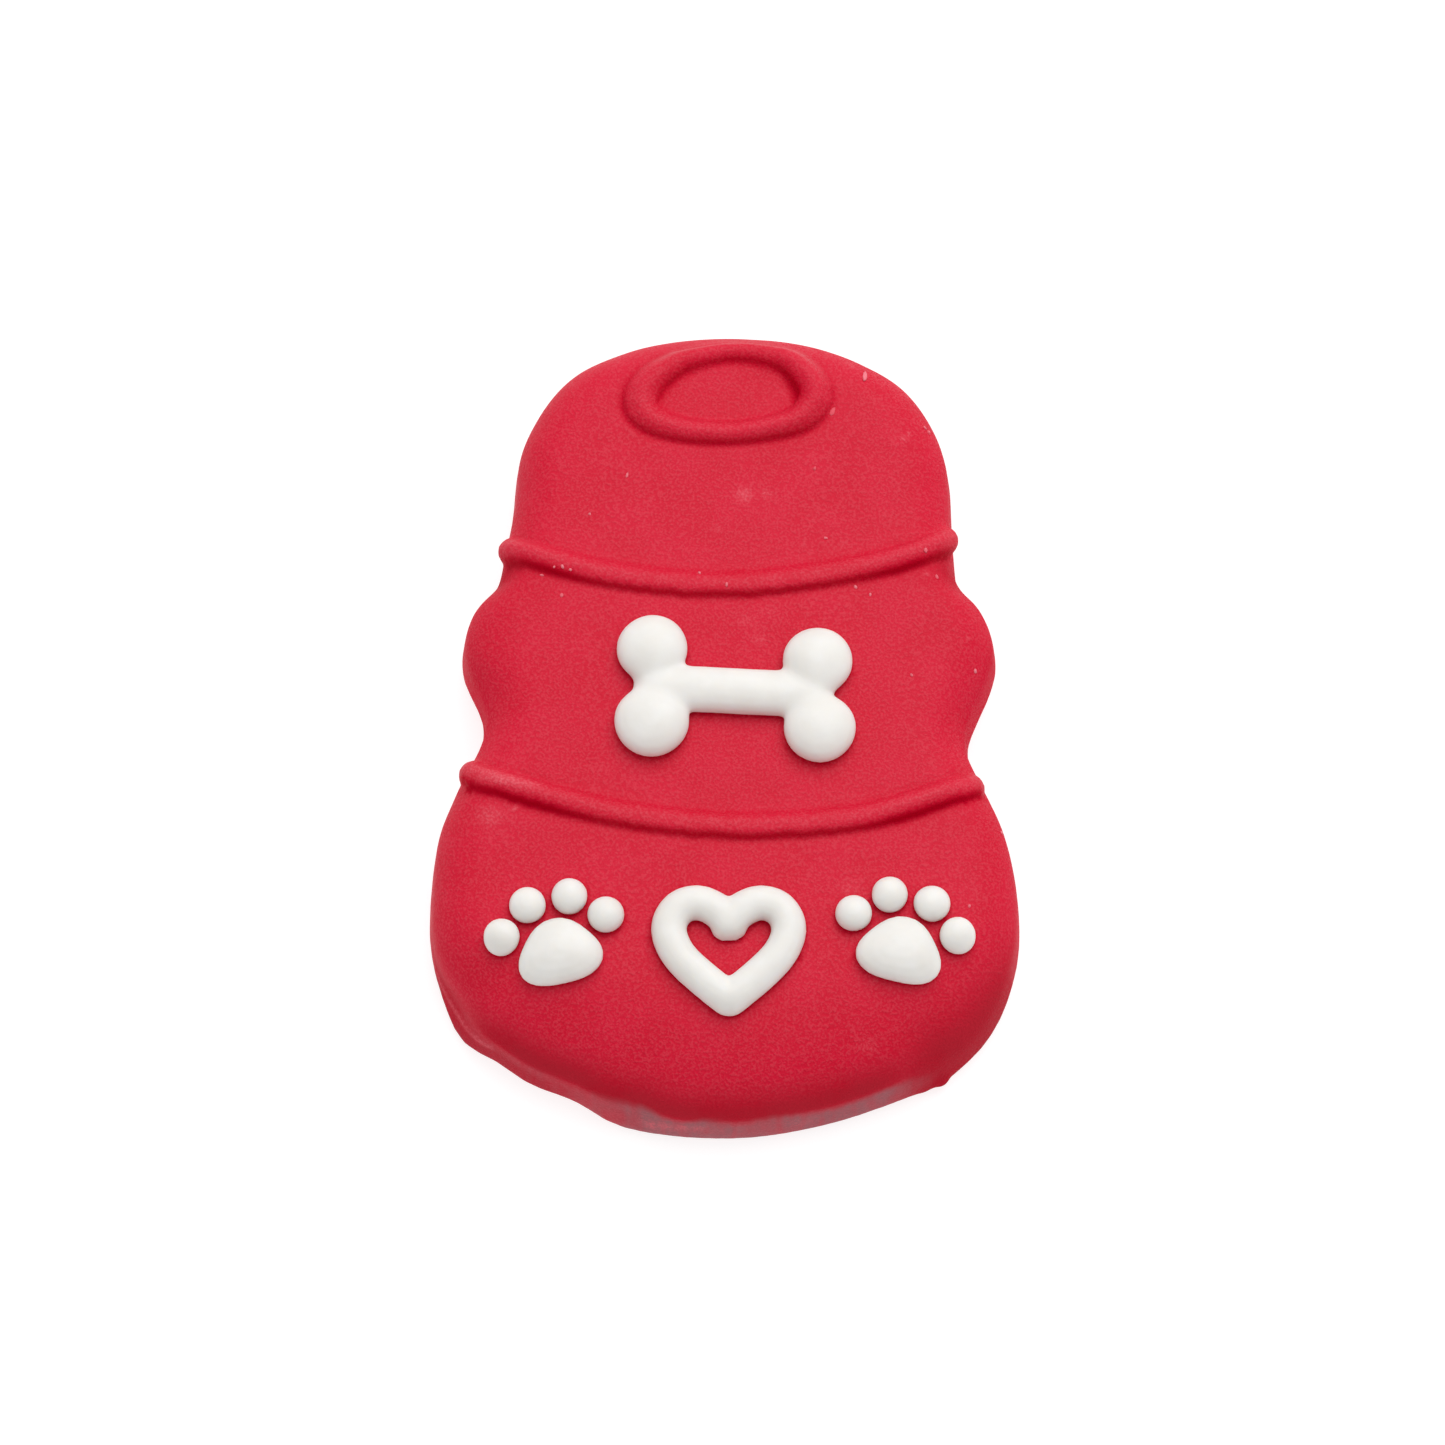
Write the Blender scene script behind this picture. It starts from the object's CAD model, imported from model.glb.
# Iced dog biscuit: finish of the coating, the icing and the loose flakes,
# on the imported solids.
import bpy
import bmesh
import math
import random
from mathutils import Matrix, Vector, noise
from mathutils.bvhtree import BVHTree
from mathutils.kdtree import KDTree


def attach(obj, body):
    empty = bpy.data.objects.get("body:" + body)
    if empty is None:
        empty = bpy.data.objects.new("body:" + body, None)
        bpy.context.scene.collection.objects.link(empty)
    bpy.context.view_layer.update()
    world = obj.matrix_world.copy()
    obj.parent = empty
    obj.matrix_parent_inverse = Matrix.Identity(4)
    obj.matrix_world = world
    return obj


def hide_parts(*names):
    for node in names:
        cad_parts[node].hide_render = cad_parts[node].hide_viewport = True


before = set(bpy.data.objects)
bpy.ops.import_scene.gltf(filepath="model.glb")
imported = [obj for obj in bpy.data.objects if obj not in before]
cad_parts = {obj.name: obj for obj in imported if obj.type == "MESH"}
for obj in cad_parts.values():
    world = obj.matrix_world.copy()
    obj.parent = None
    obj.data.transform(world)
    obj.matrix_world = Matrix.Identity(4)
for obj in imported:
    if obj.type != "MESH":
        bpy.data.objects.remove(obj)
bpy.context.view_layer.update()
mm = 0.001

camera = {
    "elevation": 72.0,  # degrees above the floor, looking along +Y
    "distance": 700 * mm,
    "target": (-0.27 * mm, 0.55 * mm, 6.0 * mm),
    "pixelsPerMm": 8.15,  # at the target, in the photo
    "photoPixels": 1445,
    "sensor": 36.0,
    "clipStart": 0.01,
}

studio = {
    "softboxFrom": (0.18, 0.48, 0.857),  # from the biscuit towards the softbox
    "softboxDistance": 0.9,
    "softboxSize": 0.85,
    "softboxPower": 4.95,
    "roomBright": 0.645,
    "roomFrontShade": 0.17,  # how much darker the room is on the side facing the lower end
    "floorColour": (0.35, 0.35, 0.35, 1.0),
    "floorRoughness": 0.9,
    "floorGlow": 0.78,
    "floorSize": 6.0,
    "floorDrop": 0.05 * mm,  # keeps the floor clear of the underside
}


def makeCamera():
    data = bpy.data.cameras.new("camera")
    obj = bpy.data.objects.new("camera", data)
    bpy.context.scene.collection.objects.link(obj)
    lift = math.radians(camera["elevation"])
    back = Vector((0.0, -math.cos(lift), math.sin(lift)))
    obj.location = Vector(camera["target"]) + back * camera["distance"]
    obj.rotation_mode = "QUATERNION"
    obj.rotation_quaternion = (-back).to_track_quat("-Z", "Y")
    focalPixels = camera["pixelsPerMm"] / mm * camera["distance"]
    data.sensor_width = camera["sensor"]
    data.lens = camera["sensor"] * focalPixels / camera["photoPixels"]
    data.clip_start = camera["clipStart"]
    bpy.context.scene.camera = obj


def makeStudio():
    bpy.context.scene.view_settings.view_transform = "Standard"
    world = bpy.data.worlds.new("room")
    bpy.context.scene.world = world
    world.use_nodes = True
    tree = world.node_tree
    background = tree.nodes["Background"]
    background.inputs["Color"].default_value = (1.0, 1.0, 1.0, 1.0)
    direction = addNode(tree, "SeparateXYZ")
    tree.links.new(addNode(tree, "TexCoord").outputs["Generated"], direction.inputs["Vector"])
    darkest = studio["roomBright"] * (1.0 - studio["roomFrontShade"])
    ends = {"From Min": 0.0, "From Max": -1.0, "To Min": studio["roomBright"], "To Max": darkest}
    darker = addNode(tree, "MapRange", ends)
    tree.links.new(direction.outputs["Y"], darker.inputs["Value"])
    tree.links.new(darker.outputs["Result"], background.inputs["Strength"])

    softbox = bpy.data.lights.new("softbox", "AREA")
    softbox.shape = "DISK"
    softbox.size = studio["softboxSize"]
    softbox.energy = studio["softboxPower"]
    lamp = bpy.data.objects.new("softbox", softbox)
    toLight = Vector(studio["softboxFrom"]).normalized()
    lamp.location = toLight * studio["softboxDistance"]
    lamp.rotation_mode = "QUATERNION"
    lamp.rotation_quaternion = toLight.to_track_quat("Z", "Y")
    bpy.context.scene.collection.objects.link(lamp)

    bm = bmesh.new()
    lowered = Matrix.Translation((0.0, 0.0, -studio["floorDrop"]))
    bmesh.ops.create_grid(bm, x_segments=1, y_segments=1, size=studio["floorSize"] / 2, matrix=lowered)
    floor = meshObject("floor", bm)
    material, shader = newMaterial("paleFloor", studio["floorColour"], studio["floorRoughness"])
    shader.inputs["Emission Color"].default_value = (1.0, 1.0, 1.0, 1.0)
    shader.inputs["Emission Strength"].default_value = studio["floorGlow"]
    floor.data.materials.append(material)


def meshObject(name, bm):
    mesh = bpy.data.meshes.new(name)
    bm.to_mesh(mesh)
    bm.free()
    mesh.shade_smooth()
    obj = bpy.data.objects.new(name, mesh)
    bpy.context.scene.collection.objects.link(obj)
    return obj


# Shader helpers

def newMaterial(name, colour, roughness):
    material = bpy.data.materials.new(name)
    material.use_nodes = True
    shader = material.node_tree.nodes["Principled BSDF"]
    shader.inputs["Base Color"].default_value = colour
    shader.inputs["Roughness"].default_value = roughness
    return material, shader


def addNode(tree, kind, values=None, **settings):
    node = tree.nodes.new("ShaderNode" + kind)
    for name, value in settings.items():
        setattr(node, name, value)
    for name, value in (values or {}).items():
        node.inputs[name].default_value = value
    return node


def newGroup(name, inputs, outputs):
    tree = bpy.data.node_groups.new(name, "ShaderNodeTree")
    for label, kind, start in inputs:
        socket = tree.interface.new_socket(name=label, in_out="INPUT", socket_type="NodeSocket" + kind)
        socket.default_value = start
    for label, kind in outputs:
        tree.interface.new_socket(name=label, in_out="OUTPUT", socket_type="NodeSocket" + kind)
    source = tree.nodes.new("NodeGroupInput")
    result = tree.nodes.new("NodeGroupOutput")
    return tree, source, result


def placeGroup(tree, group, **values):
    node = tree.nodes.new("ShaderNodeGroup")
    node.node_tree = group
    for name, value in values.items():
        node.inputs[name].default_value = value
    return node


def feed(tree, socket, value):
    if isinstance(value, bpy.types.NodeSocket):
        tree.links.new(value, socket)
    else:
        socket.default_value = value


def mathNode(tree, operation, first, second):
    node = addNode(tree, "Math", operation=operation)
    feed(tree, node.inputs[0], first)
    feed(tree, node.inputs[1], second)
    return node.outputs["Value"]


def mixColours(tree, first, second, amount):
    # the first colour, turned towards the second by the amount
    node = addNode(tree, "Mix", data_type="RGBA")
    feed(tree, node.inputs["A"], first)
    feed(tree, node.inputs["B"], second)
    feed(tree, node.inputs["Factor"], amount)
    return node.outputs["Result"]


# Shared effects

grainSkin = {
    "fine": {"Detail": 2.0, "Roughness": 0.55},
    "wide": {"Detail": 3.0, "Roughness": 0.5},
    "wideShare": 0.8,
}


def makeGrainGroup():
    # fine skin of dried coating: tiny grain with softer, wider unevenness under it
    tree, source, result = newGroup(
        "driedGrain",
        [("Vector", "Vector", (0, 0, 0)), ("Grain", "Float", 0.4), ("Width", "Float", 2.0)],
        [("Height", "Float"), ("Fine", "Float"), ("Wide", "Float")],
    )
    perMm = mathNode(tree, "DIVIDE", 1000.0, source.outputs["Grain"])
    fine = addNode(tree, "TexNoise", grainSkin["fine"])
    tree.links.new(source.outputs["Vector"], fine.inputs["Vector"])
    tree.links.new(perMm, fine.inputs["Scale"])
    widePerMm = mathNode(tree, "DIVIDE", 1000.0, source.outputs["Width"])
    wide = addNode(tree, "TexNoise", grainSkin["wide"])
    tree.links.new(source.outputs["Vector"], wide.inputs["Vector"])
    tree.links.new(widePerMm, wide.inputs["Scale"])
    under = mathNode(tree, "MULTIPLY", wide.outputs["Fac"], grainSkin["wideShare"])
    tree.links.new(mathNode(tree, "ADD", fine.outputs["Fac"], under), result.inputs["Height"])
    tree.links.new(fine.outputs["Fac"], result.inputs["Fine"])
    tree.links.new(wide.outputs["Fac"], result.inputs["Wide"])
    return tree


def makeRangeGroup():
    # stretches a value between two ends and holds it to 0..1
    tree, source, result = newGroup(
        "maskRange",
        [("Value", "Float", 0.0), ("From", "Float", 0.0), ("To", "Float", 1.0)],
        [("Mask", "Float")],
    )
    ranged = addNode(tree, "MapRange", interpolation_type="SMOOTHSTEP")
    tree.links.new(source.outputs["Value"], ranged.inputs["Value"])
    tree.links.new(source.outputs["From"], ranged.inputs["From Min"])
    tree.links.new(source.outputs["To"], ranged.inputs["From Max"])
    tree.links.new(ranged.outputs["Result"], result.inputs["Mask"])
    return tree


def grainyMaterial(name, settings, plain, other):
    # colour and roughness drift slowly, and the grain stands out as bump
    material, shader = newMaterial(name, settings[plain], settings["roughness"])
    tree = material.node_tree
    grain = placeGroup(tree, groups["grain"], Grain=settings["grain"], Width=settings["grainWidth"])
    tree.links.new(addNode(tree, "TexCoord").outputs["Object"], grain.inputs["Vector"])
    drift = placeGroup(tree, groups["range"], **settings["driftMask"])
    tree.links.new(grain.outputs["Wide"], drift.inputs["Value"])
    colour = mixColours(tree, settings[other], settings[plain], drift.outputs["Mask"])
    tree.links.new(colour, shader.inputs["Base Color"])
    if "roughnessDrift" in settings:
        start, size = settings["roughnessDrift"]
        rough = mathNode(tree, "MULTIPLY", grain.outputs["Wide"], size)
        rough = mathNode(tree, "ADD", rough, settings["roughness"] + start)
        tree.links.new(rough, shader.inputs["Roughness"])
    bump = addNode(tree, "Bump", {"Strength": 1.0, "Distance": settings["grainDepth"]})
    tree.links.new(grain.outputs["Height"], bump.inputs["Height"])
    tree.links.new(bump.outputs["Normal"], shader.inputs["Normal"])
    return material, shader, grain, colour


# Coating

coating = {
    "voxel": 0.31 * mm,
    "softening": 2,
    "smoothing": 80,
    "settling": 0.5,  # last softening of the finished relief
    "plainFrom": (2.0 * mm, 4.0 * mm),  # how far off the bands and ring the facets are smoothed
    "plainAbove": (0.3 * mm, 2.5 * mm),
    "baseBelow": 1.5 * mm,  # the relief fades out from here down to the floor
    "settleAbove": 0.6 * mm,
    "mostTriangles": 190000,
    "red": (0.655, 0.0060, 0.034, 1.0),
    "deepRed": (0.630, 0.0040, 0.028, 1.0),
    "paleRed": (0.790, 0.130, 0.165, 1.0),
    "shadeRed": (0.500, 0.0005, 0.016, 1.0),  # deep red strips and hollows
    "rimRed": (0.365, 0.106, 0.125, 1.0),  # chalky lowest strip
    "steepRim": 0.14,  # share of the chalk on the deep red strips
    "roughness": 0.55,
    "roughnessDrift": (-0.08, 0.16),  # where the drift in roughness starts, and how far it goes
    "indexOfRefraction": 1.25,
    "specular": 0.04,
    "grain": 0.31,  # millimetres from grain to grain
    "grainWidth": 6.0,
    "grainDepth": 0.18 * mm,
    "driftMask": {"From": 0.35, "To": 0.68},
    "wornMask": {"From": 0.30, "To": 0.55},
    "wornLeast": 0.65,  # of the chalk, where it is worn most
    "speckleMask": {"From": 0.40, "To": 0.68},
    "speckle": 0.19,
    "patchLeast": 0.65,  # of a pale patch, between the grains
    "patchSpeckle": 0.7,
    "sway": 0.07 * mm,  # low waves left by the dipping
    "swayWidth": 9.0 * mm,
    "ripple": 0.025 * mm,
    "rippleWidth": 2.4 * mm,
    # shallow hollows near the edges: x, y, radius across, radius along, depth
    "hollows": [
        (-24.2, 25.9, 4.0, 6.0, 0.28),
        (24.4, 28.9, 4.0, 6.0, 0.28),
        (-27.7, 4.4, 3.5, 7.5, 0.30),
        (-30.2, 10.9, 3.0, 4.0, 0.15),
        (27.8, 4.4, 3.5, 6.0, 0.28),
        (-29.5, 17.3, 3.2, 2.6, 0.35),
        (29.8, 17.6, 3.2, 2.6, 0.35),
    ],
}

# Stations on the middle lines of the raised bands and ring, laid on the nearest surface
reliefLines = {
    "upper": [
        (-33.3, 23.2, 8.3), (-31.1, 22.3, 13.0), (-26.1, 20.7, 17.0), (-14.1, 17.3, 17.0),
        (0.6, 15.9, 17.0), (16.5, 18.1, 17.0), (27.0, 21.3, 17.0), (31.7, 23.1, 13.0),
        (34.2, 24.1, 8.3),
    ],
    "lower": [
        (-36.3, -4.1, 8.8), (-34.4, -5.5, 13.0), (-29.0, -8.7, 17.0), (-13.9, -13.1, 17.0),
        (1.2, -14.9, 17.0), (16.3, -13.8, 17.0), (28.4, -9.9, 17.0), (33.3, -7.3, 13.0),
        (35.1, -5.6, 10.0),
    ],
    "ring": [
        (1.5, 46.9, 14.5), (-5.0, 45.5, 14.5), (-9.1, 42.6, 14.5), (-10.3, 39.8, 14.5),
        (-8.8, 37.6, 14.5), (-4.8, 36.2, 14.5), (0.7, 35.8, 14.5), (5.7, 36.5, 14.5),
        (9.4, 37.8, 14.5), (11.1, 40.2, 14.5), (10.5, 42.7, 14.5), (7.4, 45.6, 14.5),
    ],
}

# How the coating's surface differs across them from the plain rounded ridges.
# Bands: places across towards the lower end, widths and rises in mm
bandShapes = {
    "all": [(1.0, 0.50, 0.14), (1.72, 0.34, -0.24), (2.5, 0.7, -0.05), (-2.0, 0.5, 0.03)],
    "ends": [(-0.2, 0.9, 0.22), (-1.85, 0.36, -0.16)],
}

# Ring: the same in shares of its half width, outwards, for each of its sides
ringShapes = {
    "top": [(-1.08, 0.28, -0.28), (0.1, 0.55, 0.38), (1.05, 0.28, 0.08)],
    "bottom": [(1.08, 0.20, -0.22), (0.1, 0.55, 0.20), (-1.05, 0.30, -0.05)],
    "left": [
        (1.20, 0.18, -0.24), (0.92, 0.22, 0.24), (0.0, 0.60, 0.26), (-0.90, 0.20, 0.18),
        (-1.16, 0.17, -0.28),
    ],
    "right": [
        (1.20, 0.18, -0.16), (0.92, 0.22, 0.22), (0.0, 0.60, 0.52), (-0.85, 0.25, 0.22),
        (-1.22, 0.26, -0.50), (-1.75, 0.45, -0.20),
    ],
}

# Deeper red gathered in their hollows: places and widths as above, strengths
bandShades = {"all": [(1.45, 0.40, 0.52), (-1.8, 0.35, 0.12)], "ends": [(1.35, 0.75, 0.60)]}
ringShades = {
    "top": [(-0.90, 0.40, 0.60)],
    "bottom": [(1.00, 0.26, 0.60)],
    "left": [(1.14, 0.28, 0.55), (-1.1, 0.26, 0.60)],
    "right": [(-1.10, 0.46, 0.95), (1.15, 0.22, 0.25)],
}
# Paler red where their crests are rubbed
bandPales = {"all": [(-0.1, 0.70, 0.085)], "ends": [(-0.4, 0.80, 0.06)]}
ringPales = {
    "top": [(0.3, 0.35, 0.03)],
    "bottom": [(-0.2, 0.50, 0.08)],
    "left": [(0.0, 0.55, 0.07)],
    "right": [(0.1, 0.50, 0.03)],
}
# The ring's middle and half length along x, and its ridge's half width, with how much wider at the sides
ringWidth = {"middle": 0.43, "half": 10.7, "narrow": 1.56, "wider": 0.51}
bandEnds = (14.0, 23.0)  # where the shapes of the bands' ends come in, from the middle, in mm
reliefLaying = {
    "steps": 24,  # points on a line from one station to the next
    "shortest": 0.02 * mm,
    "endFade": (0.3 * mm, 3.0 * mm),
    "reach": 4.8 * mm,
}

# Ridge left along the foot where the coating ran down, at the lower left
footRidge = {
    "path": [
        (-35.6, -23.5, 5.6), (-35.5, -27.5, 4.6), (-34.8, -31.3, 3.6), (-33.6, -34.2, 3.6),
        (-32.0, -36.7, 4.0), (-30.4, -38.7, 4.4), (-28.4, -40.4, 4.8),
    ],
    "within": (-24.0 * mm, -18.0 * mm, 8.0 * mm),  # nothing of it right of, behind or above this
    "height": 0.16 * mm,
    "width": 0.55 * mm,
    "raisedFrom": (-24.0 * mm, -29.0 * mm),
    "pale": 0.42,
    "paleFrom": (-21.0 * mm, -26.0 * mm),
}

# Drops standing out of the foot: x, y, z, radius, rise
drips = [(26.3, -43.7, 1.7, 1.0, 0.55), (24.2, -44.7, 1.2, 0.9, 0.20)]

# Upright ribs in the coating's lowest strip, at the lower end
footRibs = {
    "depth": 0.05 * mm,
    "spacing": 0.75 * mm,
    "top": 5.5 * mm,
    "fullBelow": 0.6,  # of the top
    "behind": -45.0 * mm,
    "alongShare": 0.3,  # how much faster they change across the end than along and up
    "upShare": 0.15,
}

# Chalky scuffs and pale spots: x, y, radius across, radius along, strength
scuffs = [
    (2.44, 27.7, 0.75, 0.75, 0.60),
    (5.05, 27.7, 0.50, 0.45, 0.38),
    (-28.5, -13.5, 1.7, 1.3, 0.26),
    (-30.2, -7.3, 1.3, 0.9, 0.16),
    (-28.4, -8.5, 1.4, 0.8, 0.38),
    (-26.4, -9.2, 1.5, 0.6, 0.58),
    (-24.2, -9.9, 1.7, 0.5, 0.36),
    (-24.3, -17.0, 0.30, 0.30, 0.35),
    (-25.3, -12.5, 0.22, 0.26, 0.55),
    (-0.8, 23.1, 0.55, 0.30, 0.28),
    (22.1, 35.3, 0.35, 0.30, 0.40),
    (22.7, 36.0, 0.22, 0.42, 0.32),
    (22.6, 42.0, 0.9, 0.7, 0.12),
    (15.8, 45.5, 0.35, 0.45, 0.30),
    (24.7, 17.6, 0.30, 0.35, 0.25),
    (29.6, 9.4, 0.30, 0.25, 0.22),
    (27.8, 19.6, 0.5, 1.6, 0.16),
    (2.6, 11.3, 1.1, 0.7, 0.16),
    (4.3, 8.8, 0.9, 0.6, 0.16),
    (5.6, 12.4, 0.8, 0.5, 0.12),
    (15.1, -22.7, 1.3, 1.0, 0.16),
    (17.1, -41.6, 1.2, 0.8, 0.14),
    (14.5, 21.1, 0.25, 0.25, 0.30),
    (-3.1, 17.2, 0.24, 0.24, 0.30),
    (-10.3, -12.7, 0.24, 0.24, 0.30),
    (9.8, 21.1, 0.22, 0.3, 0.28),
    (-30.0, 15.2, 0.3, 0.25, 0.30),
]

# Pale spots on the steep foot: x, y, z, radius, strength
footScuffs = [
    (-9.0, -49.8, 3.4, 0.9, 0.45), (-7.2, -50.0, 3.9, 0.9, 0.45), (-5.2, -50.1, 4.2, 0.9, 0.35),
    (-3.2, -50.2, 4.4, 0.8, 0.30), (-29.6, -39.4, 4.4, 0.8, 0.25), (-20.5, -44.4, 3.4, 0.9, 0.22),
    (9.5, -49.0, 3.6, 1.1, 0.20),
]
scuffFloor = 5.0  # the lowest scuff, in mm
footScuffsBehind = -20.0
farAway = 20.0  # nothing of a patch is left here, in squared radii
smoothFactor = 0.5
mergeWithin = 0.001 * mm  # joins the loose triangles of a node's mesh


def mergedCopy(nodeName, objectName):
    bm = bmesh.new()
    bm.from_mesh(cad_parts[nodeName].data)
    bmesh.ops.remove_doubles(bm, verts=bm.verts, dist=mergeWithin)
    return meshObject(objectName, bm)


def applyModifiers(obj):
    depsgraph = bpy.context.evaluated_depsgraph_get()
    mesh = bpy.data.meshes.new_from_object(obj.evaluated_get(depsgraph))
    obj.modifiers.clear()
    obj.data = mesh
    mesh.shade_smooth()


def soften(obj, voxel, rounds):
    remesh = obj.modifiers.new("remesh", "REMESH")
    remesh.mode = "VOXEL"
    remesh.voxel_size = voxel
    smooth = obj.modifiers.new("soften", "SMOOTH")
    smooth.factor = smoothFactor
    smooth.iterations = rounds
    applyModifiers(obj)


def smoothWhere(obj, weights, rounds):
    # smooths a piece by the weights of its vertices
    group = obj.vertex_groups.new(name="smoothed")
    for index, weight in enumerate(weights):
        group.add([index], weight, "REPLACE")
    smooth = obj.modifiers.new("smooth", "SMOOTH")
    smooth.factor = smoothFactor
    smooth.iterations = rounds
    smooth.vertex_group = group.name
    applyModifiers(obj)
    obj.vertex_groups.clear()


def thinOut(obj, mostTriangles):
    triangles = sum(len(face.vertices) - 2 for face in obj.data.polygons)
    if triangles > mostTriangles:
        fewer = obj.modifiers.new("fewer", "DECIMATE")
        fewer.ratio = mostTriangles / triangles
        applyModifiers(obj)


def bell(away):
    return math.exp(-away)


def rise(start, end, value):
    share = min(max((value - start) / (end - start), 0.0), 1.0)
    return share * share * (3.0 - 2.0 * share)


def patchDistance(place, x, y, across, along):
    return ((place.x / mm - x) / across) ** 2 + ((place.y / mm - y) / along) ** 2


def lineDistance(place, points):
    nearest = math.inf
    for start, end in zip(points, points[1:]):
        span = end - start
        share = min(max((place - start).dot(span) / span.length_squared, 0.0), 1.0)
        nearest = min(nearest, (place - start - span * share).length)
    return nearest


def smoothLine(stations, closed):
    # close-set points of a smooth curve through the stations, in metres
    points = [Vector(station) * mm for station in stations]
    count = len(points)
    line = []
    for index in range(count if closed else count - 1):
        around = [index - 1, index, index + 1, index + 2]
        if closed:
            before, start, end, after = [points[k % count] for k in around]
        else:
            before, start, end, after = [points[min(max(k, 0), count - 1)] for k in around]
        for step in range(reliefLaying["steps"]):
            t = step / reliefLaying["steps"]
            bend = (2 * before - 5 * start + 4 * end - after) * t * t
            turn = (3 * start - before - 3 * end + after) * t**3
            line.append((2 * start + (end - before) * t + bend + turn) * 0.5)
    return line


def reliefMap(coat):
    # the bands' and ring's lines laid on the coating, ready to search
    surface = BVHTree.FromObject(coat, bpy.context.evaluated_depsgraph_get())
    spots = []
    for name, stations in reliefLines.items():
        closed = name == "ring"
        line = [surface.find_nearest(point)[0] for point in smoothLine(stations, closed)]
        for index, place in enumerate(line):
            after = line[(index + 1) % len(line) if closed else min(index + 1, len(line) - 1)]
            before = line[index - 1 if closed else max(index - 1, 0)]
            across = (after - before).cross(Vector((0.0, 0.0, 1.0)))
            if across.length > reliefLaying["shortest"]:
                fromEnd = min((place - line[0]).length, (place - line[-1]).length)
                fade = 1.0 if closed else rise(*reliefLaying["endFade"], fromEnd)
                spots.append((place, across.normalized(), fade, closed))
    tree = KDTree(len(spots))
    for index, spot in enumerate(spots):
        tree.insert(spot[0], index)
    tree.balance()
    return tree, spots


def smoothPlainParts(coat, relief):
    # rounds off the solid's facets, but not the bands, the ring or the foot
    tree = relief[0]
    weights = []
    for vert in coat.data.vertices:
        away = tree.find(vert.co)[2]
        weights.append(rise(*coating["plainFrom"], away) * rise(*coating["plainAbove"], vert.co.z))
    smoothWhere(coat, weights, coating["smoothing"])


def shapeHeight(side, shapes):
    return sum(up * bell(((side - at) / wide) ** 2) for at, wide, up in shapes)


def reliefAmount(place, relief, bandTable, ringTable):
    tree, spots = relief
    index, away = tree.find(place)[1:]
    if away > reliefLaying["reach"]:
        return 0.0
    spot, across, fade, closed = spots[index]
    side = (place - spot).dot(across) / mm
    if not closed:
        ends = rise(*bandEnds, abs(place.x / mm)) * shapeHeight(side, bandTable["ends"])
        return fade * (shapeHeight(side, bandTable["all"]) + ends)
    along = (spot.x / mm - ringWidth["middle"]) / ringWidth["half"]
    side /= ringWidth["narrow"] + ringWidth["wider"] * along**2
    shares = {"top": across.y, "bottom": -across.y, "left": -across.x, "right": across.x}
    heights = [max(share, 0.0) ** 2 * shapeHeight(side, ringTable[name]) for name, share in shares.items()]
    return sum(heights)


def ridgeShare(place, ridgeLine, comesIn):
    # 1 on the foot's ridge, 0 well away from it
    right, behind, above = footRidge["within"]
    if place.x >= right or place.y >= behind or place.z >= above:
        return 0.0
    away = lineDistance(place, ridgeLine) / footRidge["width"]
    return bell(away**2) * rise(*comesIn, place.y)


def coatOffset(place, ridgeLine):
    # how far the dipped surface stands off the plain form
    wave = noise.noise(place / coating["swayWidth"])
    ripple = noise.noise(place / coating["rippleWidth"] + Vector((7.0, 3.0, 1.0)))
    offset = coating["sway"] * wave + coating["ripple"] * ripple
    for x, y, across, along, depth in coating["hollows"]:
        offset -= depth * mm * bell(patchDistance(place, x, y, across, along))
    for x, y, z, radius, up in drips:
        away = (place / mm - Vector((x, y, z))).length / radius
        offset += up * mm * bell(away**2)
    offset += footRidge["height"] * ridgeShare(place, ridgeLine, footRidge["raisedFrom"])
    if place.z < footRibs["top"] and place.y < footRibs["behind"]:
        low = rise(footRibs["top"], footRibs["fullBelow"] * footRibs["top"], place.z)
        stretched = Vector((place.x, place.y * footRibs["alongShare"], place.z * footRibs["upShare"]))
        offset += footRibs["depth"] * low * noise.noise(stretched / footRibs["spacing"])
    return offset


# The chalky rim along the foot: pairs are where each fade starts and ends, in mm
rimStrip = {
    "uneven": 1.5,
    "unevenLength": 5.0,
    "ribs": 0.40,
    "ribSpacing": 0.8,
    "ribStretch": (1.0, 0.3, 0.2),
    "end": {"along": (-30.0, -42.0), "top": (4.9, 7.0)},
    "endRight": (17.0, 27.0),
    "rightLess": 0.9,
    "endLeft": (-7.0, -20.0),
    "leftLess": 0.75,
    "left": {"along": (-18.0, -30.0), "across": (-24.0, -30.0), "top": (0.8, 3.0)},
    "leftStrength": 0.32,
}

# The deep red strips: above the rim, on the steep corners and under the upper band's ends
deepStrips = {
    "end": {"along": (-34.0, -42.0), "foot": (5.2, 7.0), "top": (7.4, 10.8)},
    "endRight": (17.0, 27.0),
    "right": {"across": (17.0, 26.0), "along": (-26.0, -36.0), "top": (8.0, 12.5)},
    "left": {"across": (-12.0, -22.0), "along": (-22.0, -32.0), "top": (3.5, 7.5)},
    "leftStrength": 0.7,
    "side": {"across": (17.0, 24.0), "top": (10.0, 14.0)},
    "sideAt": 18.3,
    "sideWidth": 2.6,
    "sideStrength": 0.8,
}

# Where the coating shines less: middle and width along y of the waists
dullSides = {
    "top": (8.5, 12.8),
    "least": 0.60,
    "rightMore": 0.2,
    "right": (0.0, 15.0),
    "waists": [(17.5, 4.0), (1.0, 7.0)],
    "waistMore": 0.5,
}
dullPerShade = 1.5  # in the hollows

coatMarks = ("scuff", "rim", "shade", "dull")  # painted on the coating for its material

# The thin deeper line where the coating meets the icing
contact = {"deep": 0.85, "span": (0.12 * mm, 0.55 * mm), "above": 10.0}


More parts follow.
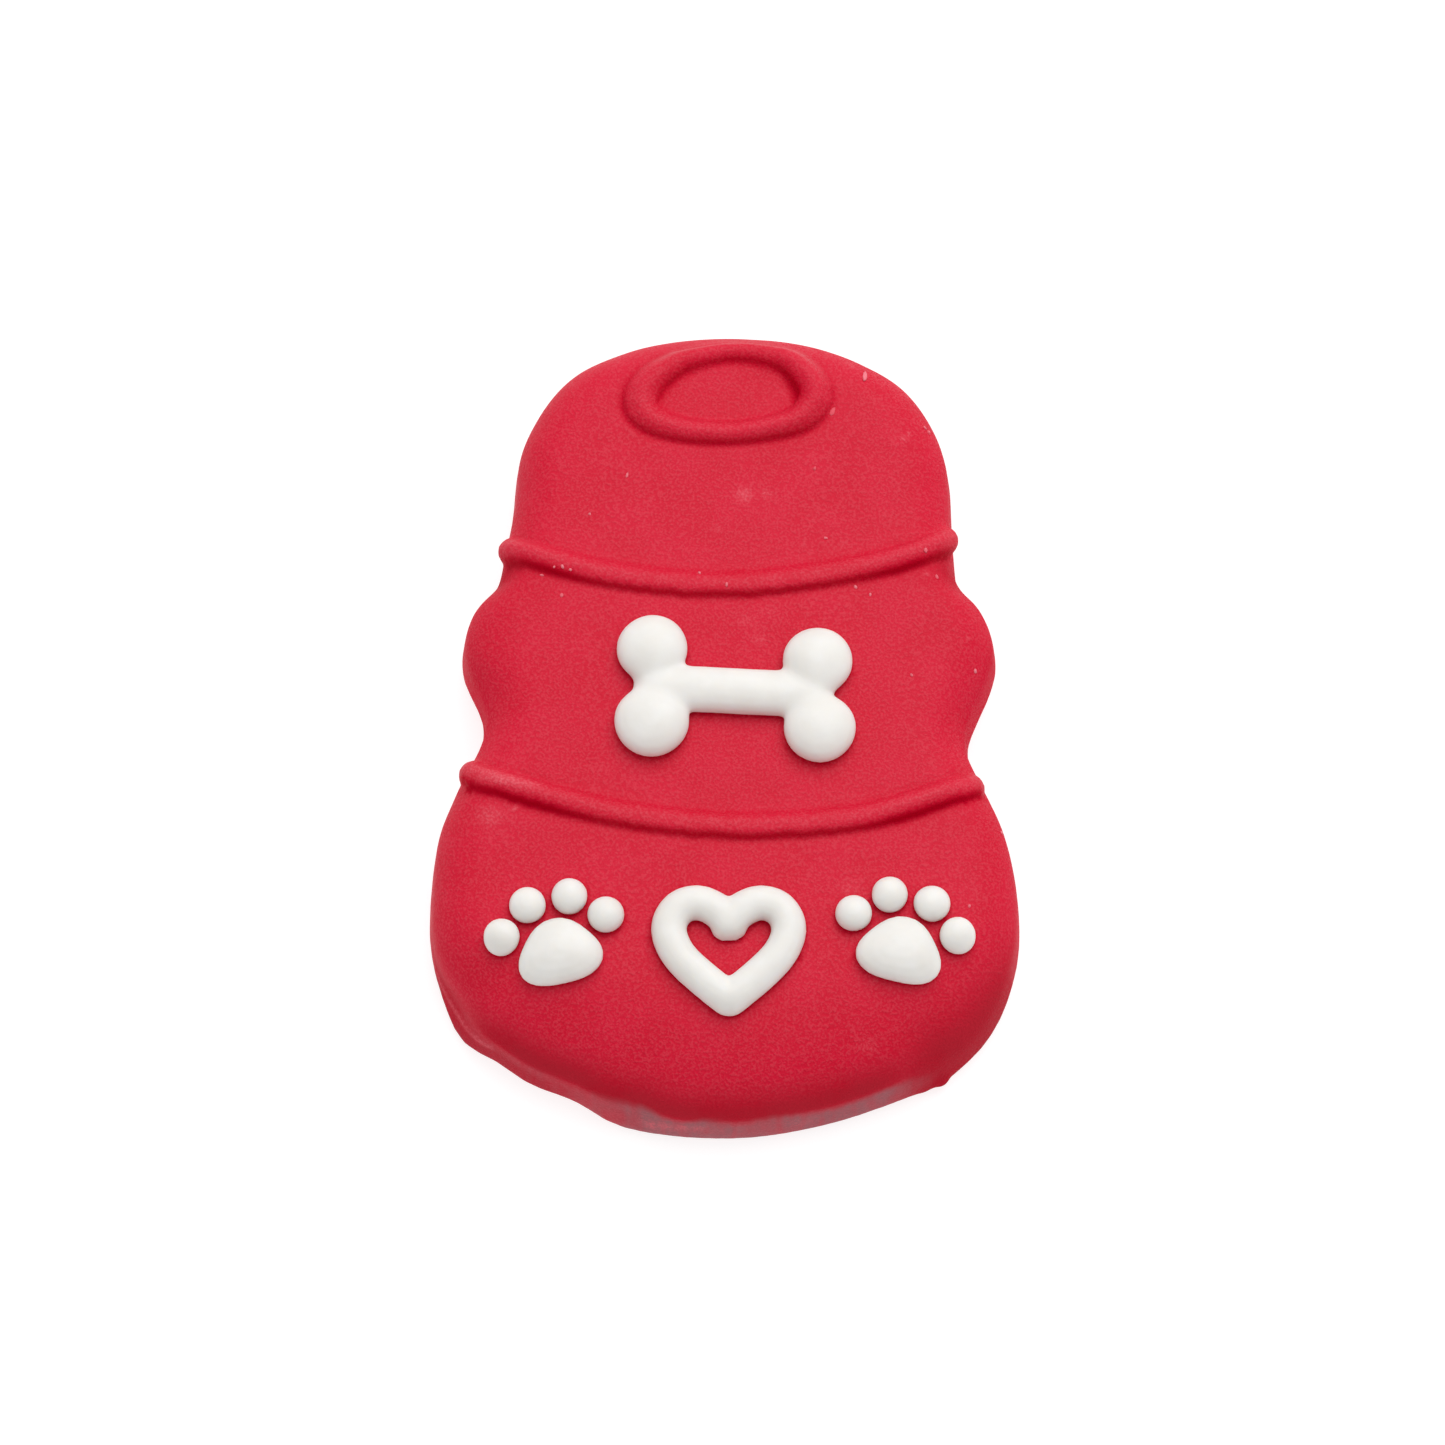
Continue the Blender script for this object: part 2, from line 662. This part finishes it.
def stripShare(x, y, z, strip):
    # a strip's share at a place, from the fades that it names
    share = 1.0
    for name, where in (("across", x), ("along", y), ("foot", z)):
        if name in strip:
            share *= rise(*strip[name], where)
    return share * (1.0 - rise(*strip["top"], z))


def rimShare(x, y, z):
    # round the lower end and up the lower left, its edge uneven
    z += rimStrip["uneven"] * noise.noise(Vector((x, y, z)) / rimStrip["unevenLength"])
    stretched = Vector((x, y, z)) * Vector(rimStrip["ribStretch"])
    ribs = 1.0 + rimStrip["ribs"] * noise.noise(stretched / rimStrip["ribSpacing"])
    end = stripShare(x, y, z, rimStrip["end"])
    end *= 1.0 - rimStrip["rightLess"] * rise(*rimStrip["endRight"], x)
    end *= 1.0 - rimStrip["leftLess"] * rise(*rimStrip["endLeft"], x)
    left = rimStrip["leftStrength"] * stripShare(x, y, z, rimStrip["left"])
    return min(ribs * max(end, left), 1.0)


def shadeShare(x, y, z):
    # the deep red strips
    end = stripShare(x, y, z, deepStrips["end"]) * (1.0 - rise(*deepStrips["endRight"], x))
    right = stripShare(x, y, z, deepStrips["right"])
    left = deepStrips["leftStrength"] * stripShare(x, y, z, deepStrips["left"])
    near = bell(((y - deepStrips["sideAt"]) / deepStrips["sideWidth"]) ** 2)
    side = deepStrips["sideStrength"] * near * stripShare(abs(x), y, z, deepStrips["side"])
    return max(end, right, left, side)


def dullShare(x, y, z):
    # the steep sides shine less, most of all at the waists
    waists = sum(bell(((y - at) / wide) ** 2) for at, wide in dullSides["waists"])
    right = dullSides["rightMore"] * rise(*dullSides["right"], x)
    amount = min(dullSides["least"] + right + dullSides["waistMore"] * waists, 1.0)
    return (1.0 - rise(*dullSides["top"], z)) * amount


def scuffShare(place, ridgeLine, relief):
    # pale patches on the top and the foot, the foot's ridge and the rubbed crests
    clean = 1.0
    if place.z / mm > scuffFloor:
        for x, y, across, along, strength in scuffs:
            clean *= 1.0 - strength * bell(min(patchDistance(place, x, y, across, along), farAway))
    elif place.y / mm < footScuffsBehind:
        for x, y, z, radius, strength in footScuffs:
            away = (place / mm - Vector((x, y, z))).length / radius
            clean *= 1.0 - strength * bell(min(away**2, farAway))
    clean *= 1.0 - footRidge["pale"] * ridgeShare(place, ridgeLine, footRidge["paleFrom"])
    clean *= 1.0 - reliefAmount(place, relief, bandPales, ringPales)
    return 1.0 - clean


def contactShare(place, icings):
    if place.z / mm <= contact["above"]:
        return 0.0
    gap = min(icing.find_nearest(place)[3] for icing in icings)
    return contact["deep"] * (1.0 - rise(*contact["span"], gap))


def paintCoat(mesh, ridgeLine, relief, icings):
    # strengths of the pale patches, the rim, the deeper red and the dull sides
    marks = {name: mesh.attributes.new(name, "FLOAT", "POINT").data for name in coatMarks}
    for vert in mesh.vertices:
        x, y, z = vert.co / mm
        steep = shadeShare(x, y, z)
        hollow = min(reliefAmount(vert.co, relief, bandShades, ringShades), 1.0)
        shade = max(steep, hollow, contactShare(vert.co, icings))
        values = {
            "scuff": scuffShare(vert.co, ridgeLine, relief),
            "rim": max(rimShare(x, y, z), coating["steepRim"] * steep),
            "shade": shade,
            "dull": max(min(dullPerShade * shade, 1.0), dullShare(x, y, z)),
        }
        for name, value in values.items():
            marks[name][vert.index].value = value


def makeCoat(icingPieces):
    coat = mergedCopy("coated_biscuit", "coating_shell")
    soften(coat, coating["voxel"], coating["softening"])
    relief = reliefMap(coat)
    smoothPlainParts(coat, relief)
    bm = bmesh.new()
    bm.from_mesh(coat.data)
    bm.normal_update()
    ridgeLine = [Vector(point) * mm for point in footRidge["path"]]
    moved = []
    for vert in bm.verts:
        offset = coatOffset(vert.co, ridgeLine)
        offset += mm * reliefAmount(vert.co, relief, bandShapes, ringShapes)
        moved.append((vert, vert.co + vert.normal * offset))
    for vert, place in moved:
        lift = min(max(vert.co.z / coating["baseBelow"], 0.0), 1.0)
        vert.co = vert.co.lerp(place, lift)
        vert.co.z = max(vert.co.z, 0.0)
    raised = [vert for vert in bm.verts if vert.co.z > coating["settleAbove"]]
    axes = {"use_axis_x": True, "use_axis_y": True, "use_axis_z": True}
    bmesh.ops.smooth_vert(bm, verts=raised, factor=coating["settling"], **axes)
    bm.to_mesh(coat.data)
    bm.free()
    thinOut(coat, coating["mostTriangles"])
    depsgraph = bpy.context.evaluated_depsgraph_get()
    icings = [BVHTree.FromObject(piece, depsgraph) for piece in icingPieces]
    paintCoat(coat.data, ridgeLine, relief, icings)
    coat.data.materials.clear()
    coat.data.materials.append(coatMaterial())
    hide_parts("coated_biscuit")
    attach(coat, "root")
    return coat


def coatMaterial():
    material, shader, grain, colour = grainyMaterial("redCoating", coating, "red", "deepRed")
    tree = material.node_tree
    painted = {name: addNode(tree, "Attribute", attribute_name=name).outputs["Fac"] for name in coatMarks}

    # the deep red strips and hollows, and the chalky rim at the lower end
    colour = mixColours(tree, colour, coating["shadeRed"], painted["shade"])
    uneven = placeGroup(tree, groups["range"], **coating["wornMask"])
    tree.links.new(grain.outputs["Wide"], uneven.inputs["Value"])
    worn = mathNode(tree, "MULTIPLY", uneven.outputs["Mask"], 1.0 - coating["wornLeast"])
    worn = mathNode(tree, "ADD", worn, coating["wornLeast"])
    colour = mixColours(tree, colour, coating["rimRed"], mathNode(tree, "MULTIPLY", painted["rim"], worn))

    # pale patches, broken up by the grain, over a faint speckle that the deep red hides
    speckle = placeGroup(tree, groups["range"], **coating["speckleMask"])
    tree.links.new(grain.outputs["Fine"], speckle.inputs["Value"])
    broken = mathNode(tree, "MULTIPLY", speckle.outputs["Mask"], coating["patchSpeckle"])
    broken = mathNode(tree, "ADD", broken, coating["patchLeast"])
    patches = mathNode(tree, "MULTIPLY", painted["scuff"], broken)
    faint = mathNode(tree, "MULTIPLY", speckle.outputs["Mask"], coating["speckle"])
    faint = mathNode(tree, "MULTIPLY", faint, mathNode(tree, "SUBTRACT", 1.0, painted["shade"]))
    colour = mixColours(tree, colour, coating["paleRed"], mathNode(tree, "ADD", patches, faint))
    tree.links.new(colour, shader.inputs["Base Color"])

    # the sheen is a thin coat, weaker on the steep sides and in the hollows
    sheen = mathNode(tree, "SUBTRACT", 1.0, painted["dull"])
    tree.links.new(sheen, shader.inputs["Coat Weight"])
    shader.inputs["Coat IOR"].default_value = coating["indexOfRefraction"]
    shader.inputs["Coat Roughness"].default_value = coating["roughness"]
    shader.inputs["Specular IOR Level"].default_value = coating["specular"]
    shader.inputs["IOR"].default_value = coating["indexOfRefraction"]
    return material


# Flakes of dried coating lying on the surface

flakes = {
    "colour": (0.83, 0.21, 0.255, 1.0),
    "deeper": (0.75, 0.090, 0.125, 1.0),
    "indexOfRefraction": 1.3,
    "roughness": 0.6,
    "thickness": 0.15 * mm,
    "thicknessSpread": (0.7, 1.3),
    "sides": 7,
    "outlineSpread": (0.78, 1.22),
    "topShare": 0.72,  # the top's size, as a share of the foot's
    "tilt": 0.2,
    "bedding": 0.03 * mm,
    "dropFrom": 50 * mm,
    "grain": 0.3,
    "grainWidth": 5.0,
    "grainDepth": 0.02 * mm,
    "driftMask": {"From": 0.38, "To": 0.6},
    "seed": 11,
    # x, y, length, width, turn in degrees from +Y
    "places": [
        (17.40, 43.70, 2.10, 0.66, -7),
        (24.80, 37.40, 0.65, 0.50, 30),
        (25.30, 37.00, 0.75, 0.55, -40),
        (24.60, 20.25, 0.80, 0.52, 5),
        (26.00, 17.35, 0.87, 0.49, 12),
        (22.75, 4.40, 0.49, 0.41, 0),
        (-19.85, 17.95, 0.65, 0.43, 20),
        (-18.85, 17.55, 0.49, 0.38, 50),
        (-20.85, 17.95, 0.38, 0.32, 0),
        (-22.40, 17.30, 0.58, 0.32, 70),
        (-3.10, 17.20, 0.58, 0.35, 10),
        (11.10, 31.10, 0.61, 0.43, -20),
        (12.40, 22.00, 0.61, 0.41, 80),
        (-12.00, 30.20, 0.75, 0.38, -15),
        (-19.90, 14.60, 0.58, 0.49, 0),
        (-16.60, 25.20, 0.49, 0.41, 0),
        (16.00, 15.70, 0.58, 0.38, 30),
        (17.80, 14.70, 0.49, 0.32, 0),
        (0.25, 15.50, 0.67, 0.38, 0),
        (33.60, -14.50, 0.64, 0.43, 20),
        (29.40, -24.80, 0.49, 0.38, 0),
        (13.30, 38.60, 1.30, 0.75, -33),
        (30.60, 5.60, 0.61, 0.49, 20),
    ],
}


def makeFlakes(coat):
    tree = BVHTree.FromObject(coat, bpy.context.evaluated_depsgraph_get())
    dice = random.Random(flakes["seed"])
    upright = Vector((0.0, 0.0, 1.0))
    lean = flakes["tilt"]
    bm = bmesh.new()
    for x, y, length, width, turn in flakes["places"]:
        place, normal = tree.ray_cast(Vector((x * mm, y * mm, flakes["dropFrom"])), -upright)[:2]
        tilt = Vector((dice.uniform(-lean, lean), dice.uniform(-lean, lean), 0.0))
        facing = upright.rotation_difference((normal + tilt).normalized()).to_matrix().to_4x4()
        turned = Matrix.Rotation(math.radians(turn), 4, "Z")
        chip = bmesh.ops.create_circle(bm, cap_ends=True, segments=flakes["sides"], radius=0.5)["verts"]
        for vert in chip:
            vert.co *= dice.uniform(*flakes["outlineSpread"])
            vert.co.x *= width * mm
            vert.co.y *= length * mm
        raised = bmesh.ops.extrude_face_region(bm, geom=list(chip[0].link_faces))["geom"]
        top = [item for item in raised if isinstance(item, bmesh.types.BMVert)]
        for vert in top:
            vert.co *= flakes["topShare"]
            vert.co.z += flakes["thickness"] * dice.uniform(*flakes["thicknessSpread"])
        sunk = Matrix.Translation(place - normal * flakes["bedding"])
        bmesh.ops.transform(bm, matrix=sunk @ facing @ turned, verts=chip + top)
    bmesh.ops.recalc_face_normals(bm, faces=bm.faces)
    piece = meshObject("coating_flakes", bm)
    piece.data.materials.append(flakeMaterial())
    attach(piece, "root")


def flakeMaterial():
    material, shader = grainyMaterial("paleFlakes", flakes, "colour", "deeper")[:2]
    shader.inputs["IOR"].default_value = flakes["indexOfRefraction"]
    return material


# Icing

icing = {
    "voxel": 0.2 * mm,
    "softening": {"piped_bone": 30, "piped_heart": 26},
    "plainSoftening": 10,
    "flatter": 0.93,
    "sink": 0.45 * mm,  # closes the gap to the coating and beds the icing in
    "white": (0.838, 0.824, 0.794, 1.0),
    "shade": (0.805, 0.785, 0.748, 1.0),
    "roughness": 0.48,
    "roughnessDrift": (-0.1, 0.2),  # as the coating's
    "scattering": 0.5,
    "scatterRadius": (1.0, 0.9, 0.75),
    "scatterScale": 1.0 * mm,
    "grain": 0.9,
    "grainWidth": 3.5,
    "grainDepth": 0.012 * mm,
    "driftMask": {"From": 0.3, "To": 0.7},
    "wobble": (0.08 * mm, 0.08 * mm, 0.048 * mm),
    "wobbleWidth": 5.0 * mm,
    "wobbleShift": (3.7, 1.3, 0.4),
    "wobbleSeed": 5,
}

# Where the bone's bar runs into its blobs: x, y and reach in mm
boneJoins = {
    "places": [(-9.9, 2.7, 3.6), (12.4, 1.5, 3.6), (-6.2, 2.6, 3.4), (8.6, 1.6, 3.4)],
    "rounds": 90,
}


def icingMaterial():
    material, shader = grainyMaterial("whiteIcing", icing, "white", "shade")[:2]
    shader.inputs["Subsurface Weight"].default_value = icing["scattering"]
    shader.inputs["Subsurface Radius"].default_value = icing["scatterRadius"]
    shader.inputs["Subsurface Scale"].default_value = icing["scatterScale"]
    return material


def runTogether(piece):
    # rounds out the hollows where the bone's forms meet
    weights = []
    for vert in piece.data.vertices:
        away = min(patchDistance(vert.co, x, y, reach, reach) for x, y, reach in boneJoins["places"])
        weights.append(bell(away**2))
    smoothWhere(piece, weights, boneJoins["rounds"])


def makeIcing(nodeName, material):
    piece = mergedCopy(nodeName, nodeName + "_icing")
    soften(piece, icing["voxel"], icing["softening"].get(nodeName, icing["plainSoftening"]))
    if nodeName == "piped_bone":
        runTogether(piece)
    shift = Vector(icing["wobbleShift"])
    shift.x *= len(nodeName)  # so that the pieces differ
    bm = bmesh.new()
    bm.from_mesh(piece.data)
    low = min(vert.co.z for vert in bm.verts)
    high = max(vert.co.z for vert in bm.verts)
    for vert in bm.verts:
        share = (vert.co.z - low) / (high - low)
        vert.co.z += (share ** icing["flatter"] - share) * (high - low)
        wave = noise.noise_vector(vert.co / icing["wobbleWidth"] + shift)
        vert.co += wave * Vector(icing["wobble"])
        vert.co.z -= icing["sink"]
    bm.to_mesh(piece.data)
    bm.free()
    piece.data.shade_smooth()
    piece.data.materials.clear()
    piece.data.materials.append(material)
    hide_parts(nodeName)
    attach(piece, "root")
    return piece


# Build

print("shared effects")
groups = {
    "grain": makeGrainGroup(),
    "range": makeRangeGroup(),
}

print("camera and studio")
makeCamera()
makeStudio()

print("icing")
noise.seed_set(icing["wobbleSeed"])  # the vector noise is random until it is seeded
iced = icingMaterial()
pieces = [makeIcing(name, iced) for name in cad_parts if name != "coated_biscuit"]

print("coating")
coat = makeCoat(pieces)

print("flakes")
makeFlakes(coat)

print("sizes")
